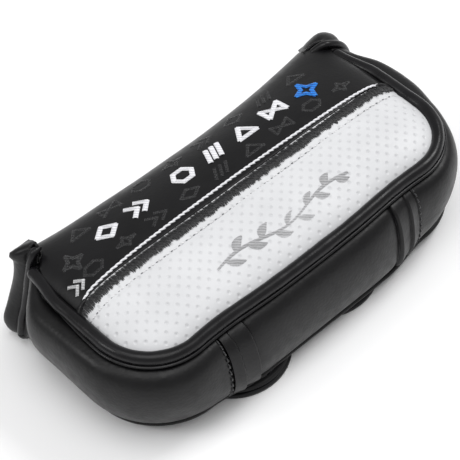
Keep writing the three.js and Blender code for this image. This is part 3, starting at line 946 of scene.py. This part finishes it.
def build_collar_rib(side, sign):
    """The thick rib beside the groove, and a thin welt that runs along it."""
    t = np.linspace(0.0, 0.99, 120)
    bars = (("rib", 30.3, 0.85, 0.25, 1.45), ("welt", 32.6, 1.1, 0.0, 0.55))
    for name, y, part, out, radius in bars:
        line = collar_line(sign, t, part)
        path = bend_over(points_of(line[:, 0], y, line[:, 1]), sign, t)
        tangent = np.gradient(path, axis=0)
        normal = unit(points_of(-tangent[:, 2], 0.0, tangent[:, 0]))
        path = path + normal * out + 0.06 * wobble(t * 100, 0, 22, 90 + sign)[:, None]
        path[:, 0] *= sign
        full = radius * (0.6 + 0.4 * smooth_step(0, 0.1, t))
        full = full * (0.55 + 0.45 * smooth_step(1, 0.86, t))
        piece = tube(f"collar_{side}_{name}", path, full, PIPING_BLACK, 18)
        nodes = [f"collar_{side}_binding"] if name == "rib" else []
        sew(piece, "black_leather", *nodes)


# ---- Embroidery -------------------------------------------------------------


def satin_stroke(path, width, surface, thick=0.19, lift=0.25):
    """Bars of thread laid side by side across a stroke drawn on a surface. width is a
    number or a function of the share along the path."""
    path = np.asarray(path, float)
    length = run_length(path)
    count = max(2, int(length[-1] / BAR_STEP))
    bars = []
    for k in range(count + 1):
        share = k / count
        behind, at, ahead = [
            np.array([np.interp(part * length[-1], length, path[:, i]) for i in (0, 1)])
            for part in (max(share - 0.02, 0), share, min(share + 0.02, 1))
        ]
        heading = (ahead - behind) / max(np.linalg.norm(ahead - behind), 1e-9)
        across = np.array([-heading[1], heading[0]])
        half = (width(share) if callable(width) else width) / 2
        u = np.linspace(-1, 1, 4)[:, None]
        spots = at + across * half * u
        crown = lift + np.array([-0.15, 0.05, 0.05, -0.15])
        bars.append((surface(*spots.T, crown), thick, 0.8, (*heading, 0.0)))
    return bars


def motif_paths(kind):
    """Centre lines of a plain geometric sign, in a box from -1 to 1."""
    ring = {
        "diamond": [(-1, 0), (0, 1), (1, 0), (0, -1), (-1, 0)],
        "hexagon": [
            (-1, 0), (-0.5, 0.95), (0.5, 0.95), (1, 0), (0.5, -0.95), (-0.5, -0.95), (-1, 0)
        ],
        "triangle": [(-1, -0.9), (0, 0.95), (1, -0.9), (-1, -0.9)],
        "bowtie": [(-1, -0.9), (-1, 0.9), (1, -0.9), (1, 0.9), (-1, -0.9)],
    }
    if kind in ring:
        return [ring[kind]]
    if kind == "chevrons":
        return [[(-1, -0.95), (-0.15, 0), (-1, 0.95)], [(0.05, -0.95), (0.9, 0), (0.05, 0.95)]]
    if kind == "bars":
        return [[(s - 0.35, -0.95), (s + 0.35, 0.95)] for s in (-0.65, 0, 0.65)]
    star = []
    for k in range(9):
        size = 1.0 if k % 2 == 0 else 0.42
        star.append((size * math.sin(k * math.pi / 4), size * math.cos(k * math.pi / 4)))
    return [star]


def motif_bars(kind, x, y, half_width, half_height, stroke, surface, **options):
    bars = []
    for path in motif_paths(kind):
        for a, b in zip(path, path[1:]):
            line = np.array([a, b], float) * [half_width, half_height] + [x, y]
            ahead = (line[1] - line[0]) / np.linalg.norm(line[1] - line[0])
            line = np.array([line[0] - ahead * stroke * 0.2, line[1] + ahead * stroke * 0.2])
            bars += satin_stroke(line, stroke, surface, **options)
    return bars


def build_motifs():
    kinds = ["diamond", "chevrons", "hexagon", "bars", "triangle", "bowtie"]
    places = [-42.3, -28.8, -10.2, 3.2, 16.2, 29.6]
    bars = []
    for kind, x in zip(kinds, places):
        bars += motif_bars(kind, x, 19.4, 3.7, 2.9, 1.5, black_surface)
    sew(many_tubes("white_motifs", bars, WHITE_THREAD, 5), "cotton_cord")

    bars = motif_bars("star", 43.6, 18.3, 4.3, 4.3, 1.3, black_surface)
    sew(many_tubes("blue_motif", bars, BLUE_THREAD, 5), "cotton_cord")

    # The same signs again, black on black, in rows on both sides of the white ones.
    kinds = ["hexagon", "bars", "star", "triangle", "chevrons", "bowtie", "diamond"]
    bars = motif_bars("star", -57.2, 18.2, 3.6, 3.8, 1.2, black_surface, lift=0.05)
    for row, (y, shift) in enumerate(((11.3, 0.0), (27.2, 6.5))):
        for k in range(9):
            x = -54.5 + shift + 13.4 * k
            if abs(x) < (60 if row == 0 else 50):
                kind = kinds[(k * 2 + row * 3) % len(kinds)]
                bars += motif_bars(kind, x, y, 3.6, 2.1, 1.1, black_surface, lift=0.02, thick=0.15)
    sew(many_tubes("black_motifs", bars, MOTIF_THREAD, 5), "satin_ribbon")

    bars = motif_bars("chevrons", -61.6, 10.4, 2.3, 2.2, 1.0, black_surface, lift=0.05, thick=0.15)
    sew(many_tubes("grey_motif", bars, GREY_THREAD, 5), "cotton_cord")


def leaf_width(share):
    return 0.35 + 2.3 * math.sin(math.pi * share ** 0.8)


def build_flourish():
    """A leafy sprig sewn in silver grey on the white leather."""
    share = np.linspace(0, 1, 60)
    stem_x = -28 + 56 * share
    stem_y = -17.2 + 1.5 * np.sin(share * math.tau * 1.5)
    stem = np.stack([stem_x, stem_y], -1)
    bars = satin_stroke(stem, 0.9, on_front, lift=0.02)
    for k in range(11):
        at = 4 + k * 5
        x, y = stem[at]
        side = 1 if k % 2 else -1
        size = 6.2 - 0.16 * k
        t = np.linspace(0, 1, 12)
        lean = 0.9 - 0.35 * t
        leaf_x = x + size * t * np.cos(lean)
        leaf_y = y + side * (0.3 + size * t * np.sin(lean) * 0.95)
        bars += satin_stroke(np.stack([leaf_x, leaf_y], -1), leaf_width, on_front, lift=0.02)
    sew(many_tubes("silver_sprig", bars, SILVER_THREAD, 5), "white_leather")


# ---- Back and the flap under it ---------------------------------------------


def build_back():
    # The back panel reaches out to the seam with the gusset all round.
    t = np.linspace(0, 1, 60)
    y = (NEAR_Y + 0.2 + (BACK_HIGH[1] - NEAR_Y - 0.4) * t ** 1.5)[:, None]
    across = eased(110)
    x = across * (front_half_at(y, 0.2) + 0.9)
    stretch = (foot_out(x) + 0.3) * smooth_step(NEAR_Y + 14, NEAR_Y, y)
    y = y - stretch
    points = points_of(x, y, BACK_LOW[2] + 0.25 + 0.15 * wobble(x, y, 50, 71))
    piece = sheet("back_leather", points, -SKIN * 0.8, BACK_BLACK)
    sew(piece, "black_leather", "back_panel", fill=0.6)

    # The strip that closes the seam of back and gusset.
    d = np.linspace(-RIM_HALF + 2, RIM_HALF - 2, 260)
    out = foot_out(d) + 1.3 + 0.1 * np.sin(d / 9.0)
    path = rim_point(d, out, BACK_LOW[2] + 0.45)
    piece = tube("back_edge_bead", path, 1.25, WALL_BLACK, 14, squash=0.72)
    sew(piece, "black_leather", "back_edge_strip")


def lobe_outline():
    """The outline of the flap's free end: two rounded ends with a straight between."""
    left, right = MAGNET_X
    left, right = left + 0.6, right - 0.2
    tips = [FLAP_LOW[1] - 0.4, FLAP_LOW[1] + 2.3]
    end_y = FLAP_LOW[1] + 11.8
    middle = (left + right) / 2
    lobes = []
    for x, tip in zip((left, right), tips):
        centre = tip + LOBE_RADIUS
        dip = math.asin((centre - end_y) / LOBE_RADIUS)
        turn = np.linspace(math.pi + dip, math.tau - dip, 44)
        lobe = np.stack([np.cos(turn), np.sin(turn)], -1) * LOBE_RADIUS
        lobes.append(lobe + [x, centre])
    end_half = 41.5
    left_x = np.linspace(middle - end_half, lobes[0][0][0], 6)[:-1]
    gap_x = np.linspace(lobes[0][-1][0], lobes[1][0][0], 8)[1:-1]
    right_x = np.linspace(lobes[1][-1][0], middle + end_half, 6)[1:]
    level = [np.stack([xs, np.full_like(xs, end_y)], -1) for xs in (left_x, gap_x, right_x)]
    edge = np.concatenate([level[0], lobes[0], level[1], lobes[1], level[2]])
    for _ in range(6):
        edge[1:-1] = 0.5 * edge[1:-1] + 0.25 * (edge[:-2] + edge[2:])
    return edge


def flap_sheet(inset, z, from_y):
    """A flat grid from the low fold to the flap's free end, inset from its outline."""
    edge = lobe_outline()
    tangent = unit(np.gradient(edge, axis=0))
    inward = np.stack([-tangent[:, 1], tangent[:, 0]], -1)
    inner = edge + inward * inset
    share = (edge[:, 0] - edge[0, 0]) / (edge[-1, 0] - edge[0, 0])
    start_x = (2 * share - 1) * (BAND_HALF_LOW - inset)
    rows = []
    for s in np.linspace(0, 1, 60):
        x = start_x * (1 - s) + inner[:, 0] * s
        y = from_y * (1 - s) + inner[:, 1] * s
        rows.append(points_of(x, y, z))
    return np.array(rows)


def edge_depth(grid):
    """Distance in from the free end of a flap grid, at each of its points."""
    edge = grid[-1, :, :2]
    flat = grid[..., :2].reshape(-1, 2)
    gap = np.linalg.norm(flat[:, None] - edge[None], axis=2).min(1)
    return gap.reshape(grid.shape[:2])


def fold_flap(piece):
    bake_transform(piece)


def build_flap():
    edge = lobe_outline()
    share = (edge[:, 0] - edge[0, 0]) / (edge[-1, 0] - edge[0, 0])
    band = []
    for s in np.linspace(0, 1, 44):
        x = (2 * share - 1) * lower_half(s)
        lines = [flap_profile(v, ("low",)) for v in x]
        yz = [[np.interp(s, np.linspace(0, 1, len(p)), p[:, i]) for p in lines] for i in (0, 1)]
        band.append(np.stack([x, *yz], -1))
    band = np.array(band)
    last = band[-1]
    flat = flap_sheet(0.0, last[0, 2], last[:, 1])
    points = np.concatenate([band, flat[1:]])
    x, y = points[..., 0], points[..., 1]
    soft = smooth_step(20.0, 8.0, points[..., 2])
    points[..., 1] += (1 - soft) * upper_uneven(x, y, points[..., 2])
    piece = sheet("flap_leather", points.transpose(1, 0, 2), SKIN, BACK_BLACK)
    sew(piece, "black_leather", "flap_band_skin", "flap_back_skin", body=None, fill=0.4)
    fold_flap(piece)

    # Its inner face, seen on the two rounded ends, sewn to the outer skin.
    top = FLAP_LOW[2] + FACING_RISE
    facing = flap_sheet(0.3, top, LOW_FOLD[1] - 8.0)
    depth = edge_depth(facing)
    facing[..., 2] -= 0.9 * np.exp(-depth / 0.9)
    facing[..., 2] -= 0.25 * np.exp(-(((depth - 2.2) / 0.6) ** 2))
    facing[..., 2] += 0.08 * wobble(facing[..., 0], facing[..., 1], 22, 83)
    piece = sheet("flap_facing", facing, 1.6, BACK_BLACK)
    sew(piece, "black_leather", "flap_back_lining", body="flap_back")
    build_flap_stitches(top)


def build_flap_stitches(top):
    line = flap_sheet(2.5, 0.0, LOW_FOLD[1] - 9.0)[-1, :, :2]
    length = run_length(line)
    bars = []
    step = 3.2
    for k in range(int(length[-1] / step)):
        at = k * step + np.linspace(0, 2.2, 5)
        x, y = [np.interp(at, length, line[:, i]) for i in (0, 1)]
        dip = np.array([-0.5, 0.0, 0.06, 0.0, -0.5])
        for z, sign in ((top - 0.15, 1), (-0.02, -1)):
            bars.append((np.stack([x, y, z + sign * dip], -1), 0.2, 0.8, None))
    sew(many_tubes("flap_stitches", bars, BLACK_THREAD, 6), "satin_ribbon", body="flap_back")


# ---- Inside -----------------------------------------------------------------


def outward_band(points):
    """The band's grid turned so that its outer face looks out of the mouth."""
    middle = normals_of(points)[points.shape[0] // 2, points.shape[1] // 2]
    return points if middle[1] > 0 else points[::-1]


def front_layer(name, node, margin, stop, below, thickness, pile, material, slot, seed):
    """A layer under the front's skins, following their crown, short of the rim."""
    y = np.linspace(NEAR_Y + margin, MOUTH_Y - stop, 64)[:, None]
    across = eased(120)
    half = np.minimum(front_half_at(y, margin), HALF - margin) - 10 * smooth_step(10, 26, y)
    x = across * half
    r = np.random.default_rng(seed)
    z = front_z(x, y) - below - pile * r.random(x.shape)
    z = z - 1.1 * np.exp(-np.maximum(rim_depth(x, y) - margin, 0) / 2.0)
    points = points_of(x, y, z)
    sew(sheet(name, points.transpose(1, 0, 2), thickness, material), slot, node)


def flat_layer(name, node, pile, material, slot, seed, shrink=0.0):
    """A level layer in the back, with the pocket's rounded corners."""
    low, high = box_mm(node)
    margin = HALF - high[0] + shrink
    y = np.linspace(NEAR_Y + margin, high[1] - shrink, 60)[:, None]
    across = eased(110)
    x = across * np.minimum(front_half_at(y, margin), high[0] - shrink)
    r = np.random.default_rng(seed)
    z = high[2] - 0.05 - pile * r.random(x.shape) + 0.05 * wobble(x, y, 30, seed)
    points = points_of(x, y, z)
    sew(sheet(name, points.transpose(1, 0, 2), high[2] - low[2] - 0.15, material), slot, node)


def band_layer(name, node, depth, thickness, pile, material, slot, seed):
    """A layer inside the flap's band, from the mouth's fold to the low fold."""
    low, high = box_mm(node)
    half = high[0] - 1.0
    rows = []
    x = np.linspace(-half, half, 100)
    r = np.random.default_rng(seed)
    z = np.linspace(high[2] - 1.2, low[2] + 0.8, 44)
    for v in x:
        line = flap_profile(v, ("top", "low"))
        order = np.argsort(line[:, 1])
        y = np.interp(z, line[order, 1], line[order, 0])
        rows.append(points_of(v, y, z))
    points = np.array(rows)
    normal = normals_of(points)
    if normal[50, 20, 1] < 0:
        normal = -normal
    inner = points - normal * (depth + pile * r.random(points.shape[:2]))[..., None]
    sew(sheet(name, outward_band(inner), thickness, material), slot, node, body="flap_band")


def build_inside():
    front_layer("front_padding", "front_foam", 3.0, 7.0, 1.7, 2.2, 0.0, FOAM, "foam", 101)
    front_layer("front_plush", "front_lining", 4.2, 2.6, 4.4, 1.1, 0.3, PLUSH, "plush", 102)
    flat_layer("back_padding", "back_foam", 0.0, FOAM, "foam", 103, 3.5)
    flat_layer("back_plush", "back_lining", 0.3, PLUSH, "plush", 104)
    band_layer("flap_band_padding", "flap_band_foam", 1.5, 1.4, 0.0, FOAM, "foam", 105)
    band_layer("flap_band_plush", "flap_band_lining", 3.2, 0.9, 0.3, PLUSH, "plush", 106)

    # The tape folded over the back's edge at the mouth.
    low, high = box_mm("mouth_binding")
    turn = np.linspace(-0.5 * math.pi, 0.5 * math.pi, 12)
    middle, reach = (low[2] + high[2]) / 2, (high[2] - low[2]) / 2
    section = [(low[1] - 3.0, low[2] - 0.1)]
    section += [(low[1] + 0.2 + 0.9 * math.cos(a), middle + reach * math.sin(a)) for a in turn]
    section += [(low[1] - 3.0, high[2] + 0.1)]
    x = np.linspace(low[0] - 5.5, high[0] + 5.5, 240)
    section = through(section, np.linspace(0, 1, 30))
    points = points_of(x[:, None], *section.T)
    ripple = 0.06 * np.sin(points[..., 0] * 1.9)
    ripple = ripple + 0.08 * wobble(points[..., 0], points[..., 2], 20, 107)
    points[..., 1] += ripple
    piece = sheet("mouth_tape", outward_band(points), 0.45, SATIN_TAPE)
    sew(piece, "satin_ribbon", "mouth_binding")


# ---- Floor, light and camera ------------------------------------------------


def build_stage():
    n = Nodes("floor_paint")
    tone = n.noise(3.0, 2.0)
    colour = n.ramp(tone, [(0.3, (0.97, 0.97, 0.975)), (0.7, (0.985, 0.985, 0.99))])
    material = n.finish(colour, n.spread(tone, 0.3, 0.7, 0.85, 0.95), Specular_IOR_Level=0.1)
    # It lies just under the stitches of the flap, which stand proud of it.
    wide, level = 6000.0, -0.3
    corners = [(x * wide, y * wide, level) for x, y in ((-1, -1), (1, -1), (1, 1), (-1, 1))]
    floor = new_object("floor", corners, [(0, 1, 2, 3)], material, smooth=False)
    world = bpy.data.worlds.new("studio")
    world.use_nodes = True
    background = world.node_tree.nodes["Background"]
    background.inputs["Color"].default_value = (1, 1, 1, 1)
    background.inputs["Strength"].default_value = 0.5
    bpy.context.scene.world = world
    bpy.context.scene.view_settings.view_transform = "Standard"


def direction(azimuth, elevation):
    """Towards a place seen from the cover, with angles in degrees."""
    a, e = math.radians(azimuth), math.radians(elevation)
    return Vector((math.sin(a) * math.cos(e), -math.cos(a) * math.cos(e), math.sin(e)))


def soft_light(name, azimuth, elevation, distance, size, power):
    back = direction(azimuth, elevation)
    light = bpy.data.lights.new(name, "AREA")
    light.shape = "RECTANGLE"
    light.size, light.size_y = size
    light.energy = power
    lamp = bpy.data.objects.new(name, light)
    lamp.location = back * distance + Vector((0, 0, 0.02))
    lamp.rotation_mode = "QUATERNION"
    lamp.rotation_quaternion = back.to_track_quat("Z", "Y")
    bpy.context.scene.collection.objects.link(lamp)


def build_camera():
    azimuth, elevation, roll = -40.17, 51.15, math.radians(-3.47)
    distance, aside, above = 648.35, -6.34, 0.78
    back = direction(azimuth, elevation)
    level = direction(azimuth + 90, 0)
    upright = back.cross(level)
    right = level * math.cos(roll) + upright * math.sin(roll)
    up = upright * math.cos(roll) - level * math.sin(roll)
    place = (Vector((0, 0, 20)) + back * distance + right * aside + up * above) * MM
    camera = bpy.data.cameras.new("camera")
    camera.sensor_width = 36.0
    camera.lens = 156.5
    camera.clip_start, camera.clip_end = 0.05, 20.0
    holder = bpy.data.objects.new("camera", camera)
    turn = Matrix((right, up, back)).transposed()
    holder.matrix_world = Matrix.Translation(place) @ turn.to_4x4()
    bpy.context.scene.collection.objects.link(holder)
    bpy.context.scene.camera = holder


# ---- The CAD nodes that stay as they are ------------------------------------


def dress_cad_nodes():
    """The hidden parts in the closed end of the flap and in the back keep their shapes."""
    looks = {
        "flap_back_stiffener": BOARD,
        "keeper_disc_left": STEEL, "keeper_disc_right": STEEL,
        "magnet_left": STEEL, "magnet_right": STEEL,
    }
    for node, material in looks.items():
        mesh = frame["nodes"][node].data
        mesh.materials.clear()
        mesh.materials.append(material)


build_camera()
build_stage()
soft_light("overhead", -50, 80, 1.3, (1.0, 0.9), 7)
soft_light("right_side", 85, 50, 1.3, (0.5, 0.4), 6)
soft_light("left_side", -115, 40, 1.4, (0.35, 0.5), 3.2)
dress_cad_nodes()
build_front_lower()
build_front_upper()
build_seam()
build_piping()
build_gusset()
build_collars()
build_motifs()
build_flourish()
build_back()
build_flap()
build_inside()
